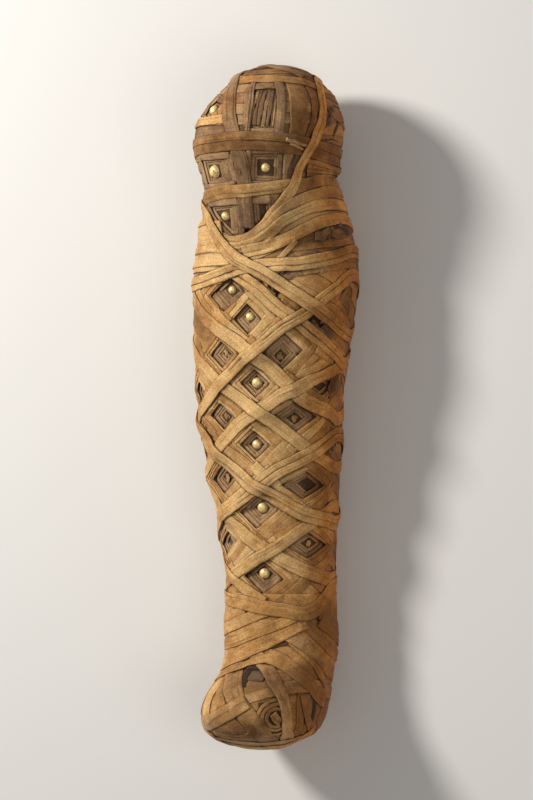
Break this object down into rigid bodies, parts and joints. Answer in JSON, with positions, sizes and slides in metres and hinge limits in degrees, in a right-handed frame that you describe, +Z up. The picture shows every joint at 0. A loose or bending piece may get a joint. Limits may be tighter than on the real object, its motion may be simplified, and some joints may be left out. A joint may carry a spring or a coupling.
{
  "type": "child mummy",
  "caption": "Child mummy of the Roman period wrapped in a diagonal lattice of linen bandages, with stepped lozenge coffers and gilded studs, lying on its back.",
  "frame": {"origin": "on the floor under the middle of the body's outline", "axes": "+Y towards the head, +Z up out of the front of the body as it lies on its back, +X to the right for someone who looks at the face"},
  "size_m": [0.2028, 0.8118, 0.1912],
  "materials": {
    "pale_linen": "aged pale tan linen, plain weave, matt",
    "warm_linen": "aged warm brown linen, plain weave, matt",
    "grey_linen": "grey-brown faded linen, plain weave, matt",
    "dark_linen": "dark brown dyed linen, matt",
    "gilding": "worn gold leaf over a stucco dome, satin"
  },
  "bodies": {
    "root": {"ankle_turn": "pale_linen", "body_shroud": "grey_linen", "body_stud_1": "gilding", "body_stud_2": "gilding", "body_stud_3": "gilding", "body_stud_4": "gilding", "body_stud_5": "gilding", "body_stud_6": "gilding", "brow_panel": "warm_linen", "brow_strip_left": "grey_linen", "brow_strip_middle": "grey_linen", "brow_strip_right": "grey_linen", "calf_band_1": "warm_linen", "calf_band_2": "warm_linen", "cheek_band": "pale_linen", "chest_strip": "pale_linen", "coffer_net_inner": "dark_linen", "coffer_net_outer": "grey_linen", "crown_band": "pale_linen", "crown_wrap": "pale_linen", "falling_strip_7": "pale_linen", "falling_turn_1": "warm_linen", "falling_turn_2": "pale_linen", "falling_turn_3": "warm_linen", "falling_turn_4": "pale_linen", "falling_turn_5": "warm_linen", "falling_turn_6": "pale_linen", "foot_cloth": "warm_linen", "foot_cross_band": "warm_linen", "foot_side_band": "warm_linen", "foot_side_strip": "warm_linen", "forehead_band": "pale_linen", "head_cloth": "grey_linen", "head_net": "grey_linen", "head_stud_1": "gilding", "head_stud_2": "gilding", "head_stud_3": "gilding", "head_stud_4": "gilding", "instep_band": "warm_linen", "jaw_band": "pale_linen", "neck_band_high": "warm_linen", "neck_band_low": "pale_linen", "neck_band_middle": "pale_linen", "nose_band": "pale_linen", "rising_turn_1": "pale_linen", "rising_turn_2": "pale_linen", "rising_turn_3": "pale_linen", "rising_turn_4": "pale_linen", "rising_turn_5": "pale_linen", "shin_band_1": "pale_linen", "shin_band_2": "pale_linen", "shin_band_3": "pale_linen", "sole_band": "warm_linen", "toe_band": "warm_linen", "wrapped_body": "warm_linen"}
  },
  "joints": []
}
